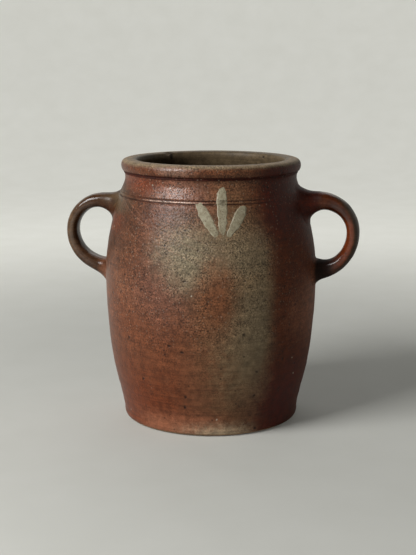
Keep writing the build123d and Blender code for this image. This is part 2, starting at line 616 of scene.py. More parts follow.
    def seat(self, piece: Piece, wall: Piece, stand: float) -> None:
        """Lay the open end rings on the wall.

        Args:
            piece: The handle.
            wall: The finished body.
            stand: How far the rings stand above the wall.
        """
        form = bmesh.new()
        form.from_mesh(piece.data)
        rim = [vertex.index for vertex in form.verts if vertex.is_boundary]
        form.free()
        piece.vertex_groups.new(name="seat").add(rim, 1.0, "REPLACE")
        lay_on(piece, wall, stand, "seat")
        piece.vertex_groups.clear()

    def spread_skirt(self, piece: Piece) -> None:
        """Extrude both open ends outwards over the wall.

        Args:
            piece: The handle, in object mode.
        """
        edit_all(piece)
        bpy.ops.mesh.select_mode(type="EDGE")
        bpy.ops.mesh.select_all(action="DESELECT")
        form = bmesh.from_edit_mesh(piece.data)
        for edge in form.edges:
            edge.select_set(edge.is_boundary)
        bmesh.update_edit_mesh(piece.data)
        bpy.ops.mesh.extrude_region_move()
        form = bmesh.from_edit_mesh(piece.data)
        rim = [vertex for vertex in form.verts if vertex.is_boundary]
        halfway = sum(vertex.co.z for vertex in rim) / len(rim)
        upper = [vertex for vertex in rim if vertex.co.z > halfway]
        lower = [vertex for vertex in rim if vertex.co.z <= halfway]
        for ring in (upper, lower):
            middle = sum((vertex.co for vertex in ring), Vector()) / len(ring)
            there, back = Matrix.Translation(middle), Matrix.Translation(-middle)
            bmesh.ops.transform(form, matrix=there @ Matrix.Scale(self.skirt_share, 4) @ back, verts=ring)
        bmesh.update_edit_mesh(piece.data)
        bpy.ops.mesh.select_mode(type="VERT")
        bpy.ops.object.mode_set(mode="OBJECT")


@dataclass
class SlipSprig:
    """A fan of brush dabs of pale slip on the front of the shoulder."""

    body: PotBody
    around: float = 6.0
    foot_drop: float = 70.0
    leans: tuple[float, ...] = (-29.0, 1.0, 31.0)
    lengths: tuple[float, ...] = (33.0, 42.0, 31.0)
    width: float = 11.0
    gap: float = 10.0
    tail_share: float = 0.72
    squareness: float = 2.8
    waver: float = 1.5
    waver_size: float = 3.2
    waver_shift: float = 7.0
    proud: float = 0.35
    insets: tuple[float, ...] = (0.22, 0.38)
    edge_share: float = 0.9
    edge_stand: float = -0.1
    ring_points: int = 72
    subdivisions: int = 3

    def build(self, wall: Piece) -> list[Piece]:
        """Lay the dabs on the finished body, left to right."""
        return [self.dab(wall, index) for index in range(len(self.leans))]

    def dab(self, wall: Piece, index: int) -> Piece:
        """One dab, round where the brush was set down and drawn out to a tail.

        Args:
            wall: The finished body.
            index: Which dab of the fan.

        Returns:
            The dab.
        """
        clear_selection()
        bpy.ops.mesh.primitive_circle_add(
            vertices=self.ring_points, radius=1.0, fill_type="NGON", location=(0, 0, 0))
        piece = bpy.context.object
        piece.name = f"slip_dab_{index + 1}"
        edit_all(piece)
        for inset in self.insets:
            bpy.ops.mesh.inset(thickness=inset)
        bpy.ops.object.mode_set(mode="OBJECT")
        lean = math.radians(self.leans[index])
        length = self.lengths[index]
        shift = Vector((self.waver_shift,) * 3)
        edge = [vertex.index for vertex in piece.data.vertices if vertex.co.length > self.edge_share]
        for vertex in piece.data.vertices:
            spot = squared(vertex.co, self.squareness)
            waver = self.waver * spot.length
            up = (spot.y + 1) / 2
            along = self.gap + length * up
            across = spot.x * self.width / 2 * (self.tail_share + (1 - self.tail_share) * up)
            seed = Vector((across, along, index * length)) / self.waver_size
            across += noise.noise(seed) * waver
            along += noise.noise(seed + shift) * waver
            sideways = across * math.cos(lean) + along * math.sin(lean)
            height = self.body.height - self.foot_drop + along * math.cos(lean) - across * math.sin(lean)
            out = self.body.shoulder_radius(height)
            place = way_round(self.around + math.degrees(sideways / out)) * out
            place.z = height
            vertex.co = place * MM
        piece.vertex_groups.new(name="edge").add(edge, 1.0, "REPLACE")
        apply_modifier(piece, "SUBSURF", levels=self.subdivisions, render_levels=self.subdivisions)
        lay_on(piece, wall, self.proud)
        lay_on(piece, wall, self.edge_stand, "edge")
        bpy.ops.object.shade_smooth()
        return piece


class Measure(Enum):
    """What a zone's limits are measured by."""

    AROUND = "degrees round from the photographed side, rising to the right"
    LEVEL = "mm above the base"
    RADIUS = "mm from the turning axis"
    UPWARD = "how far the surface faces up, from -1 to 1"
    OUTWARD = "how far the surface faces away from the axis, from -1 to 1"


AROUND, LEVEL, RADIUS, UPWARD, OUTWARD = Measure


@dataclass(frozen=True)
class Limit:
    """Soft limits of a zone: it comes in over rise and goes out over fall."""

    measure: Measure
    rise: Span | None = None
    fall: Span | None = None


@dataclass(frozen=True)
class Patch:
    """A soft oval on the unrolled wall: its middle in degrees round and mm up, and how far it reaches."""

    around: float
    level: float
    half_around: float
    half_level: float
    lean: float = 0.0


@dataclass(frozen=True)
class Zone:
    """A stretch of the surface that the fire and the salt coloured in their own way; some stretches hold
    painted shade and highlights.
    """

    name: str
    colour: str
    roughness: float
    limits: tuple[Limit, ...] = ()
    patches: tuple[Patch, ...] = ()
    strength: float = 1.0
    broken: float = 0.6


@dataclass(frozen=True)
class Specks:
    """Small marks scattered over the skin, specks in the clay and painted glints, and whether only the
    coarse skin has them.
    """

    spacing: float
    radius: float
    share: float
    colour: str
    strength: float
    depth: float
    coarse_only: bool = False


# Numbers of a Mix node's sockets, whose names repeat: its share, the values or the colours that it mixes,
# and the mixed colour
SHARE = 0
VALUE_BELOW, VALUE_ABOVE = 2, 3
BELOW, ABOVE = 6, 7
MIXED = 2


class NodeBoard:
    """A material's node tree, filled one node at a time."""

    def __init__(self, name: str) -> None:
        """Start an empty material.

        Args:
            name: The material's name.
        """
        self.material = bpy.data.materials.new(name)
        self.material.use_nodes = True
        self.tree = self.material.node_tree
        self.tree.nodes.clear()

    def add(
        self, kind: str, inputs: dict[int | str, object], output: int | str = 0, **settings: object
    ) -> Socket | None:
        """Add one node with its settings and links.

        Args:
            kind: The node's type, without its ShaderNode prefix.
            inputs: Values, or other nodes' outputs, by input name or number.
            output: The output to give back.
            **settings: The node's own settings.

        Returns:
            The chosen output, or nothing where the node has none.
        """
        node = self.tree.nodes.new(f"ShaderNode{kind}")
        for name, value in settings.items():
            setattr(node, name, value)
        for key, value in inputs.items():
            if isinstance(value, Socket):
                self.tree.links.new(value, node.inputs[key])
            else:
                node.inputs[key].default_value = value
        return node.outputs[output] if len(node.outputs) else None


class PotSurface(NodeBoard):
    """The board of a finish that changes over the pot, with the pot's surface measured on it."""

    # Length of one degree on the wall laid out flat, at a radius of 95 mm
    degree: float = math.radians(95.0)
    # Size and depth of the shifts that keep the zones from having ruled edges
    wanders: tuple[Span, ...] = ((34.0, 18.0), (6.0, 4.0))
    # Grain that breaks up the zones' edges, coarse and fine
    break_sizes: tuple[float, float] = (9.0, 2.4)
    break_span: Span = (0.7, 1.3)
    oval_core: float = 0.1
    level_only: tuple[float, float, float] = (1.0, 1.0, 0.0)

    def __init__(self, name: str) -> None:
        """Start the material and measure the surface.

        Args:
            name: The material's name.
        """
        super().__init__(name)
        place = self.add("TexCoord", {}, "Object")
        facing = place.node.outputs["Normal"]
        self.turned = self.add("Mapping", {
            "Vector": place, "Rotation": (0.0, 0.0, -math.radians(FRONT_TURN)), "Scale": (1 / MM,) * 3})
        wandering = self.turned
        for size, depth in self.wanders:
            drift = self.add("TexNoise", {"Vector": self.turned, "Scale": 1 / size, "Detail": 3.0}, "Color")
            shift = self.add("VectorMath", {0: drift, 1: (0.5, 0.5, 0.5)}, operation="SUBTRACT")
            shift = self.add("VectorMath", {0: shift, "Scale": depth}, operation="SCALE")
            wandering = self.add("VectorMath", {0: wandering, 1: shift}, operation="ADD")
        flat = self.add("VectorMath", {0: self.turned, 1: self.level_only}, operation="MULTIPLY")
        flat_place = self.add("VectorMath", {0: place, 1: self.level_only}, operation="MULTIPLY")
        outward = self.add("VectorMath", {0: flat_place}, operation="NORMALIZE")
        self.measures = {
            AROUND: self.degrees_round(wandering),
            LEVEL: self.add("SeparateXYZ", {0: self.turned}, "Z"),
            RADIUS: self.add("VectorMath", {0: flat}, "Value", operation="LENGTH"),
            UPWARD: self.add("SeparateXYZ", {0: facing}, "Z"),
            OUTWARD: self.add("VectorMath", {0: facing, 1: outward}, "Value", operation="DOT_PRODUCT"),
        }
        self.sheet = self.unrolled(self.turned)
        self.wandering_sheet = self.unrolled(wandering)
        coarse, fine = (
            self.add("TexNoise", {"Vector": self.turned, "Scale": 1 / size, "Detail": 3.0}, "Fac")
            for size in self.break_sizes)
        both = self.add("Math", {0: coarse, 1: fine}, operation="ADD")
        low, high = self.break_span
        self.breaks = self.add("MapRange", {
            "Value": both, "From Min": low, "From Max": high, "To Min": -1.0, "To Max": 1.0})

    def degrees_round(self, place: Socket) -> Socket:
        """Measure degrees round from the photographed side.

        Args:
            place: Turned place in mm.

        Returns:
            The degrees, rising to the right.
        """
        across = self.add("SeparateXYZ", {0: place}, "X")
        towards = self.add("Math", {0: across.node.outputs["Y"], 1: -1.0}, operation="MULTIPLY")
        angle = self.add("Math", {0: across, 1: towards}, operation="ARCTAN2")
        return self.add("Math", {0: angle}, operation="DEGREES")

    def unrolled(self, place: Socket) -> Socket:
        """Lay the wall out flat.

        Args:
            place: Turned place in mm.

        Returns:
            The place on the flat sheet, as mm round and mm up.
        """
        level = self.add("SeparateXYZ", {0: place}, "Z")
        arc = self.add("Math", {0: self.degrees_round(place), 1: self.degree}, operation="MULTIPLY")
        return self.add("CombineXYZ", {"X": arc, "Y": level})

    def oval(self, sheet: Socket, patch: Patch) -> Socket:
        """How deep inside a soft oval each place lies.

        Args:
            sheet: The unrolled wall.
            patch: The oval.

        Returns:
            One in the middle, falling to none at the rim.
        """
        inside = self.add("Mapping", {
            "Vector": sheet, "Location": (patch.around * self.degree, patch.level, 0.0),
            "Rotation": (0.0, 0.0, math.radians(patch.lean)),
            "Scale": (patch.half_around * self.degree, patch.half_level, 1.0)}, vector_type="TEXTURE")
        off = self.add("VectorMath", {0: inside}, "Value", operation="LENGTH")
        return self.add("MapRange", {
            "Value": off, "From Min": self.oval_core, "From Max": 1.0, "To Min": 1.0, "To Max": 0.0},
            interpolation_type="SMOOTHSTEP")

    def within(self, limits: tuple[Limit, ...], spread: Socket | float) -> Socket | float:
        """Cut a share down to soft limits.

        Args:
            limits: The limits.
            spread: The share before.

        Returns:
            The share within all the limits.
        """
        for limit in limits:
            for ends, before, after in ((limit.rise, 0.0, 1.0), (limit.fall, 1.0, 0.0)):
                if ends:
                    edge = self.add("MapRange", {
                        "Value": self.measures[limit.measure], "From Min": ends[0], "From Max": ends[1],
                        "To Min": before, "To Max": after}, interpolation_type="SMOOTHSTEP")
                    spread = self.add("Math", {0: edge, 1: spread}, operation="MULTIPLY")
        return spread

    def spread(self, zone: Zone) -> Socket:
        """Where a zone lies, with its edge broken up by grain.

        Args:
            zone: The zone.

        Returns:
            The zone's share at each place.
        """
        spread: Socket | float = 0.0 if zone.patches else 1.0
        for patch in zone.patches:
            oval = self.oval(self.wandering_sheet, patch)
            spread = self.add("Math", {0: oval, 1: spread}, operation="MAXIMUM")
        spread = self.within(zone.limits, spread)
        bare = self.add("Math", {0: 1.0, 1: spread}, operation="SUBTRACT")
        edge = self.add("Math", {0: spread, 1: bare}, operation="MULTIPLY")
        edge = self.add("Math", {0: edge, 1: 2 * zone.broken}, operation="MULTIPLY")
        broken = self.add("Math", {0: edge, 1: self.breaks, 2: spread}, operation="MULTIPLY_ADD")
        return self.add("Math", {0: broken, 1: zone.strength}, operation="MULTIPLY", use_clamp=True)


# The right strap, apart from its back
RIGHT_STRAP = (
    Limit(RADIUS, (104.0, 116.0)), Limit(AROUND, (45.0, 60.0), (100.0, 120.0)),
    Limit(OUTWARD, None, (0.1, 0.6)))
# The inner wall below the lip
INNER_WALL = (Limit(OUTWARD, None, (-0.2, 0.1)), Limit(RADIUS, None, (94.5, 95.5)))
# The outer wall at the cut lines
LINE_WALL = Limit(RADIUS, (84.0, 86.0), (97.0, 99.0))


@dataclass(frozen=True)
class SaltGlaze:
    """Salt-glazed stoneware: iron-red clay under a thin glassy skin that salt vapour laid in the kiln.

    It gives the eye a pitted, orange-peel gloss with broken highlights, red where the clay shows, olive
    grey where ash settled, and dark brown where the fire starved. The real grain is a few tenths of a
    millimetre wide and is drawn coarser, so that it shows.
    """

    name: str = "salt_glazed_stoneware"
    clay: str = "#6f4630"
    burnt: str = "#603823"
    roughness: float = 0.36
    roughness_swing: float = 0.12
    ior: float = 1.5
    specular: float = 0.2
    cloud_size: float = 30.0
    cloud_span: Span = (0.38, 0.68)
    grain_size: float = 1.4
    grain_depths: Span = (0.32, 0.9)
    grain_patch_size: float = 16.0
    grain_patch_span: Span = (0.3, 0.65)
    grain_patch_least: float = 0.35
    blotch_size: float = 6.0
    blotch_depth: float = 0.26
    # Streaks and scratches have a length and a width
    streak_size: tuple[float, float] = (60.0, 1.8)
    streak_depth: float = 0.16
    mottle_span: Span = (0.3, 0.7)
    peel_size: float = 2.2
    peel_depths: Span = (0.5 / 3, 0.5)
    ring_depth: float = 0.05
    rings_to_streaks: float = 0.5
    speck_edge: Span = (0.5, 1.5)
    scratches: Patch = Patch(-40.0, 198.0, 62.0, 48.0, -23.0)
    scratch_size: tuple[float, float] = (150.0, 2.1)
    scratch_span: Span = (0.54, 0.8)
    scratch_colour: str = "#8a6453"
    scratch_strength: float = 0.45
    coarse: tuple[Limit, ...] = (
        Limit(LEVEL, (55.0, 125.0)), Limit(RADIUS, None, (102.0, 110.0)),
        Limit(AROUND, (-100.0, -40.0), (30.0, 90.0)))
    glassy: tuple[Limit, ...] = (Limit(RADIUS, (112.0, 122.0)), Limit(OUTWARD, (-0.6, -0.1), (0.1, 0.5)))
    glassy_coat: float = 0.5
    coat_roughness: float = 0.12
    # Each zone lies over those before it
    zones: tuple[Zone, ...] = (
        Zone("red_left", "#623620", 0.38, (
            Limit(AROUND, (-170.0, -120.0), (-30.0, 10.0)), Limit(LEVEL, None, (90.0, 170.0))), (), 0.8),
        Zone("red_foot", "#642e15", 0.40, (
            Limit(AROUND, (-170.0, -120.0), (-45.0, 0.0)), Limit(LEVEL, None, (15.0, 90.0))), (), 0.9),
        # Plum shoulder: purplish tint that is partly the glaze's own and partly painted sheen of the key
        # light, on a glossier skin.
        Zone("plum_shoulder", "#644234", 0.31, (), (
            Patch(-20.0, 212.0, 46.0, 54.0), Patch(-24.0, 150.0, 34.0, 70.0)), 0.95),
        # Glossy neck: glossier glaze, with a paler pink colour that partly paints its highlight.
        Zone("glossy_neck", "#7b5645", 0.17, (), (Patch(-25.0, 226.0, 26.0, 17.0),)),
        Zone("brown_left", "#361a07", 0.46, (Limit(LEVEL, (122.0, 174.0)),), (
            Patch(-92.0, 208.0, 92.0, 110.0),)),
        Zone("root_red", "#6a3018", 0.36, (), (Patch(-74.0, 192.0, 22.0, 18.0),), 0.5),
        Zone("neck_red", "#69301a", 0.32, (), (Patch(-56.0, 235.0, 40.0, 17.0),), 0.7),
        Zone("root_olive", "#54422d", 0.3, (Limit(AROUND, (-135.0, -110.0)),), (
            Patch(-82.0, 212.0, 34.0, 17.0),), 0.85),
        Zone("ash_band", "#725a3f", 0.44, (Limit(AROUND, (-24.0, 26.0), (27.5, 41.5)),), (
            Patch(16.0, 120.0, 70.0, 175.0),), 1.0, 0.4),
        Zone("ash_core", "#75654e", 0.44, (Limit(AROUND, None, (26.0, 40.0)),), (
            Patch(29.0, 108.0, 38.0, 104.0), Patch(22.0, 174.0, 38.0, 46.0)), 0.95, 0.35),
        Zone("ash_pale", "#776c57", 0.42, (), (Patch(-10.0, 170.0, 34.0, 46.0, -22.0),), 0.95, 0.4),
        Zone("red_tongue", "#6e4128", 0.40, (), (Patch(3.5, 132.0, 16.0, 60.0, 3.0),), 0.85),
        Zone("dark_side", "#522610", 0.65, (Limit(AROUND, (26.5, 42.0), (140.0, 178.0)),), (), 1.0, 0.5),
        Zone("dark_shoulder", "#3f1002", 0.55, (
            Limit(AROUND, (10.0, 42.0), (140.0, 170.0)), Limit(LEVEL, (160.0, 205.0))), (), 0.95, 0.4),
        Zone("dark_foot", "#450d00", 0.55, (), (Patch(50.0, 26.0, 40.0, 70.0, -18.0),), 0.95),
        # Paler patch on the dark right side: painted sheen of a broad reflection.
        Zone("bloom_right", "#7a4a33", 0.6, (), (Patch(66.0, 116.0, 34.0, 48.0),), 0.85),
        Zone("back_ash", "#65563f", 0.42, (), (
            Patch(-165.0, 180.0, 44.0, 70.0), Patch(170.0, 160.0, 36.0, 80.0)), 0.7),
        Zone("salmon_foot", "#85533b", 0.42, (
            Limit(AROUND, (-62.0, -36.0), (-5.0, 22.0)), Limit(LEVEL, None, (8.0, 30.0))), (), 0.9),
        Zone("pale_foot", "#9e8a70", 0.5, (
            Limit(AROUND, (-30.0, 4.0), (12.0, 36.0)), Limit(LEVEL, None, (1.0, 18.0)))),
        Zone("handles", "#452e1e", 0.13, (Limit(RADIUS, (101.5, 114.0)),), (), 1.0, 0.4),
        Zone("left_strap_side", "#584330", 0.13, (
            Limit(RADIUS, (128.0, 140.0)), Limit(AROUND, (-130.0, -115.0), (-60.0, -45.0))), (), 0.8, 0.4),
        Zone("right_strap_face", "#6c3016", 0.15, RIGHT_STRAP, (), 0.9, 0.4),
        Zone("right_strap_top", "#3b1a0a", 0.15, (
            *RIGHT_STRAP, Limit(LEVEL, (188.0, 200.0))), (), 0.95, 0.4),
        Zone("strap_back", "#3c2c20", 0.5, (
            Limit(RADIUS, (108.0, 118.0)), Limit(OUTWARD, (0.35, 0.75)),
            Limit(AROUND, (20.0, 40.0))), (), 0.9, 0.3),
        # Near-black at the right strap's lower root: painted shade where the body hides the root from the
        # key light.
        Zone("root_dark", "#140803", 0.85, (
            Limit(RADIUS, (101.8, 105.0), (114.0, 130.0)), Limit(AROUND, (40.0, 60.0), (120.0, 140.0)),
            Limit(LEVEL, None, (160.0, 172.0))), (), 0.95, 0.3),
        Zone("collar_side", "#55301c", 0.32, (
            Limit(LEVEL, (236.5, 240.0)), Limit(AROUND, (-175.0, -130.0), (-10.0, 45.0))), (), 0.85),
        Zone("rim_ash", "#78664f", 0.6, (Limit(LEVEL, (242.0, 245.5)), Limit(UPWARD, (0.2, 0.8)))),
        # Glossy collar: glossier glaze, with a paler pink colour that partly paints its highlight.
        Zone("glossy_collar", "#705344", 0.18, (Limit(OUTWARD, (0.0, 0.4)),), (
            Patch(-23.0, 245.0, 17.0, 9.0),), 0.9),
        # Dark band in the crease under the collar: painted shade of the collar's overhang.
        Zone("crease_dark", "#320900", 0.7, (
            Limit(LEVEL, (235.8, 237.2), (239.0, 240.4)), Limit(RADIUS, (76.0, 79.0))), (), 0.95, 0.3),
        # Dark in the two cut lines: painted shade in the grooves, partly glaze gathered there.
        Zone("lower_line", "#2c120a", 0.5, (
            Limit(LEVEL, (215.3, 215.9), (216.4, 217.0)), LINE_WALL,
            Limit(AROUND, (-115.0, -85.0), (20.0, 60.0))), (), 0.75, 0.5),
        Zone("upper_line", "#2c120a", 0.5, (
            Limit(LEVEL, (218.1, 218.7), (219.2, 219.8)), LINE_WALL,
            Limit(AROUND, (-62.0, -40.0), (20.0, 60.0))), (), 0.75, 0.5),
        # Pale ridge between the cut lines: painted highlight, partly rubbed wear, on a glossier skin.
        Zone("ridge_worn", "#b89c8c", 0.15, (Limit(LEVEL, (216.8, 217.2), (217.9, 218.3)),), (
            Patch(-24.0, 217.5, 26.0, 40.0),), 0.9),
        Zone("inside", "#574936", 0.5, INNER_WALL, (), 1.0, 0.2),
        # Near-black low on the left of the inner wall: painted shade inside the mouth.
        Zone("inside_dark", "#100a06", 0.5, (
            *INNER_WALL, Limit(AROUND, (-180.0, -142.0), (-110.0, -60.0)),
            Limit(LEVEL, None, (234.0, 246.0))), (), 0.9, 0.3),
        # Near-black in the chip knocked out of the lip: painted shade in the dent.
        Zone("lip_chip", "#17100b", 0.7, (
            Limit(LEVEL, (242.0, 243.5)), Limit(RADIUS, None, (75.5, 77.0))), (
            Patch(-143.0, 247.0, 3.2, 9.0),), 1.0, 0.2),
        Zone("inside_floor", "#554738", 0.5, (
            Limit(UPWARD, (0.3, 0.6)), Limit(LEVEL, (4.0, 8.0), (30.0, 60.0)),
            Limit(RADIUS, None, (74.0, 78.0)))),
        Zone("bare_base", "#96785c", 0.85, (
            Limit(UPWARD, None, (-0.75, -0.35)), Limit(LEVEL, None, (1.5, 4.0)))),
    )
    marks: tuple[Specks, ...] = (
        Specks(3.6, 0.66, 0.5, "#2b1a12", 0.5, 0.3, True),
        # Pale flecks on the coarse skin: painted glints of the pitted glaze.
        Specks(3.1, 0.6, 0.5, "#a38f7a", 0.34, -0.2, True),
        Specks(7.0, 0.8, 0.5, "#24140d", 0.6, 0.15),
        Specks(13.0, 1.3, 0.42, "#150a06", 0.85, 0.4),
        Specks(19.0, 0.8, 0.34, "#b9ab99", 0.85, 0.05),
    )

    def material(self) -> bpy.types.Material:
        """Build the finish.

        Returns:
            The material.
        """
        board = PotSurface(self.name)
        colour = self.clay_colour(board)
        roughness: Socket | float = self.roughness
        for zone in self.zones:
            spread = board.spread(zone)
            colour = board.add("Mix", {
                SHARE: spread, BELOW: colour, ABOVE: linear(zone.colour)}, MIXED, data_type="RGBA")
            roughness = board.add("Mix", {
                SHARE: spread, VALUE_BELOW: roughness, VALUE_ABOVE: zone.roughness}, data_type="FLOAT")
        colour = self.scratched(board, colour)
        coarse = board.within(self.coarse, 1.0)
        coat = board.within(self.glassy, self.glassy_coat)
        colour, grain = self.mottled(board, coarse, colour)
        height = self.skin(board, coarse)
        for marks in self.marks:
            colour, height = self.scatter(board, coarse, marks, colour, height)
        bump = board.add("Bump", {"Strength": 1.0, "Distance": MM, "Height": height})
        swing = self.roughness_swing
        roughness = board.add("Math", {0: grain, 1: swing, 2: roughness}, operation="MULTIPLY_ADD")
        roughness = board.add("Math", {0: roughness, 1: swing / 2}, operation="SUBTRACT")
        shader = board.add("BsdfPrincipled", {
            "Base Color": colour, "Roughness": roughness, "IOR": self.ior, "Normal": bump,
            "Specular IOR Level": self.specular, "Coat Weight": coat, "Coat Roughness": self.coat_roughness})
        board.add("OutputMaterial", {"Surface": shader})
        LOG.info("%s: %d nodes", self.name, len(board.tree.nodes))
        return board.material

    def clay_colour(self, board: PotSurface) -> Socket:
        """Red clay, clouded by the fire.

        Args:
            board: The measured surface.

        Returns:
            The colour.
        """
        low, high = self.cloud_span
        cloud = board.add(
            "TexNoise", {"Vector": board.turned, "Scale": 1 / self.cloud_size, "Detail": 4.0}, "Fac")
        share = board.add("MapRange", {"Value": cloud, "From Min": low, "From Max": high})
        return board.add("Mix", {
            SHARE: share, BELOW: linear(self.clay), ABOVE: linear(self.burnt)}, MIXED, data_type="RGBA")

    def scratched(self, board: PotSurface, colour: Socket) -> Socket:
        """Faint pale scratches that slope down over the left of the shoulder.

        Args:
            board: The measured surface.
            colour: The colour so far.

        Returns:
            The scratched colour.
        """
        low, high = self.scratch_span
        combed = board.add("Mapping", {
            "Vector": board.sheet, "Rotation": (0.0, 0.0, math.radians(self.scratches.lean)),
            "Scale": (*self.scratch_size, 1.0)}, vector_type="TEXTURE")
        comb = board.add("TexNoise", {"Vector": combed, "Scale": 1.0, "Detail": 1.0}, "Fac")
        line = board.add("MapRange", {"Value": comb, "From Min": low, "From Max": high})
        where = board.oval(board.sheet, self.scratches)
        share = board.add("Math", {0: line, 1: where}, operation="MULTIPLY")
        share = board.add("Math", {0: share, 1: self.scratch_strength}, operation="MULTIPLY")
        return board.add("Mix", {
            SHARE: share, BELOW: colour, ABOVE: linear(self.scratch_colour)}, MIXED, data_type="RGBA")

    def drawn_out(self, board: PotSurface) -> Socket:
        """Places drawn out along the level streaks from the thrower's fingers."""
        along, across = self.streak_size
        return board.add("Mapping", {"Vector": board.turned, "Scale": (1 / along, 1 / along, 1 / across)})

    def mottled(self, board: PotSurface, coarse: Socket, colour: Socket) -> tuple[Socket, Socket]:
        """Fine mottling of the skin, faint level streaks and blotches.

        Args:
            board: The measured surface.
            coarse: How coarse the skin is, from 0 to 1.
            colour: The colour so far.

        Returns:
            The mottled colour and the mottling.
        """
        turned = board.turned
        grain = board.add("TexNoise", {
            "Vector": turned, "Scale": 1 / self.grain_size, "Detail": 2.0, "Roughness": 0.6}, "Fac")
        streak = board.add("TexNoise", {
            "Vector": self.drawn_out(board), "Scale": 1.0, "Detail": 2.0}, "Fac")
        blotch = board.add("TexNoise", {
            "Vector": turned, "Scale": 1 / self.blotch_size, "Detail": 2.0}, "Fac")
        patches = board.add("TexNoise", {
            "Vector": turned, "Scale": 1 / self.grain_patch_size, "Detail": 1.0}, "Fac")
        fine, rough = self.grain_depths
        depth = board.add("MapRange", {"Value": coarse, "To Min": fine, "To Max": rough})
        low, high = self.grain_patch_span
        share = board.add("MapRange", {
            "Value": patches, "From Min": low, "From Max": high, "To Min": self.grain_patch_least})
        depth = board.add("Math", {0: depth, 1: share}, operation="MULTIPLY")
        low, high = self.mottle_span
        for pattern, strength in ((grain, depth), (streak, self.streak_depth), (blotch, self.blotch_depth)):
            level = board.add("MapRange", {
                "Value": pattern, "From Min": low, "From Max": high, "To Min": -1.0, "To Max": 1.0})
            level = board.add("Math", {0: level, 1: strength, 2: 1.0}, operation="MULTIPLY_ADD")
            shade = board.add("CombineColor", {0: level, 1: level, 2: level})
            colour = board.add("Mix", {
                SHARE: 1.0, BELOW: colour, ABOVE: shade}, MIXED, data_type="RGBA", blend_type="MULTIPLY")
        return colour, grain

    def skin(self, board: PotSurface, coarse: Socket) -> Socket:
        """Orange peel over fine throwing lines.

        Args:
            board: The measured surface.
            coarse: How coarse the skin is, from 0 to 1.

        Returns:
            The skin's height in mm.
        """
        peel = board.add("TexNoise", {
            "Vector": board.turned, "Scale": 1 / self.peel_size, "Detail": 2.0}, "Fac")
        least, most = self.peel_depths
        depth = board.add("MapRange", {"Value": coarse, "To Min": least, "To Max": most})
        rings = board.add("TexNoise", {
            "Vector": self.drawn_out(board), "Scale": self.rings_to_streaks, "Detail": 2.0}, "Fac")
        lines = board.add("Math", {0: rings, 1: self.ring_depth}, operation="MULTIPLY")
        return board.add("Math", {0: peel, 1: depth, 2: lines}, operation="MULTIPLY_ADD")

    def scatter(
        self, board: PotSurface, coarse: Socket, marks: Specks, colour: Socket, height: Socket
    ) -> tuple[Socket, Socket]:
        """Scatter specks or pits over the skin.

        Args:
            board: The measured surface.
            coarse: How coarse the skin is, from 0 to 1.
            marks: The kind of mark.
            colour: The colour so far.
            height: The skin's height so far, in mm.

        Returns:
            The colour and the height with the marks.
        """
        width = 2 * marks.radius
        warp = board.add("TexNoise", {"Vector": board.turned, "Scale": 1 / width}, "Color")
        uneven = board.add("VectorMath", {0: warp, "Scale": width}, operation="SCALE")
        uneven = board.add("VectorMath", {0: board.turned, 1: uneven}, operation="ADD")
        distance = board.add("TexVoronoi", {"Vector": uneven, "Scale": 1 / marks.spacing}, "Distance")
        chance = board.add("SeparateColor", {0: distance.node.outputs["Color"]})
        near, far = (marks.radius / marks.spacing * edge for edge in self.speck_edge)
        dot = board.add("MapRange", {
            "Value": distance, "From Min": near, "From Max": far, "To Min": 1.0, "To Max": 0.0})
        picked = board.add("Math", {0: chance, 1: marks.share}, operation="LESS_THAN")
        dot = board.add("Math", {0: dot, 1: picked}, operation="MULTIPLY")
        if marks.coarse_only:
            dot = board.add("Math", {0: dot, 1: coarse}, operation="MULTIPLY")
        stain = board.add("Math", {0: dot, 1: marks.strength}, operation="MULTIPLY")
        colour = board.add("Mix", {
            SHARE: stain, BELOW: colour, ABOVE: linear(marks.colour)}, MIXED, data_type="RGBA")
        height = board.add("Math", {0: dot, 1: -marks.depth, 2: height}, operation="MULTIPLY_ADD")
        return colour, height


@dataclass(frozen=True)
class BrushedSlip:
    """White slip brushed on thin before the salting: a pale sage skin that the clay greys from below.

    Its pinholes are finer in the real slip and are drawn coarser, so that they show.
    """

    name: str = "brushed_slip"
    colour: str = "#99927b"
    thin: str = "#7b7058"
    bare: str = "#5d4331"
    roughness: float = 0.5
    ior: float = 1.5
    patch_size: float = 4.0
    thin_span: Span = (0.35, 0.7)
    speck_size: float = 1.5
    bare_span: Span = (0.56, 0.7)
    peel_depth: float = 0.25

    def material(self) -> bpy.types.Material:
        """Build the finish.

        Returns:
            The material.
        """
        board = NodeBoard(self.name)
        place = board.add("TexCoord", {}, "Object")
        scaled = board.add("Mapping", {"Vector": place, "Scale": (1 / MM,) * 3})
        patch, speck = (
            board.add("TexNoise", {
                "Vector": scaled, "Scale": 1 / size, "Detail": 3.0, "Roughness": 0.6}, "Fac")
            for size in (self.patch_size, self.speck_size))
        colour = linear(self.colour)
        layers = ((patch, self.thin_span, self.thin), (speck, self.bare_span, self.bare))
        for pattern, (low, high), under in layers:
            share = board.add("MapRange", {"Value": pattern, "From Min": low, "From Max": high})
            colour = board.add("Mix", {
                SHARE: share, BELOW: colour, ABOVE: linear(under)}, MIXED, data_type="RGBA")
        bump = board.add("Bump", {"Strength": 1.0, "Distance": self.peel_depth * MM, "Height": speck})
        shader = board.add("BsdfPrincipled", {
            "Base Color": colour, "Roughness": self.roughness, "IOR": self.ior, "Normal": bump})
        board.add("OutputMaterial", {"Surface": shader})
        return board.material


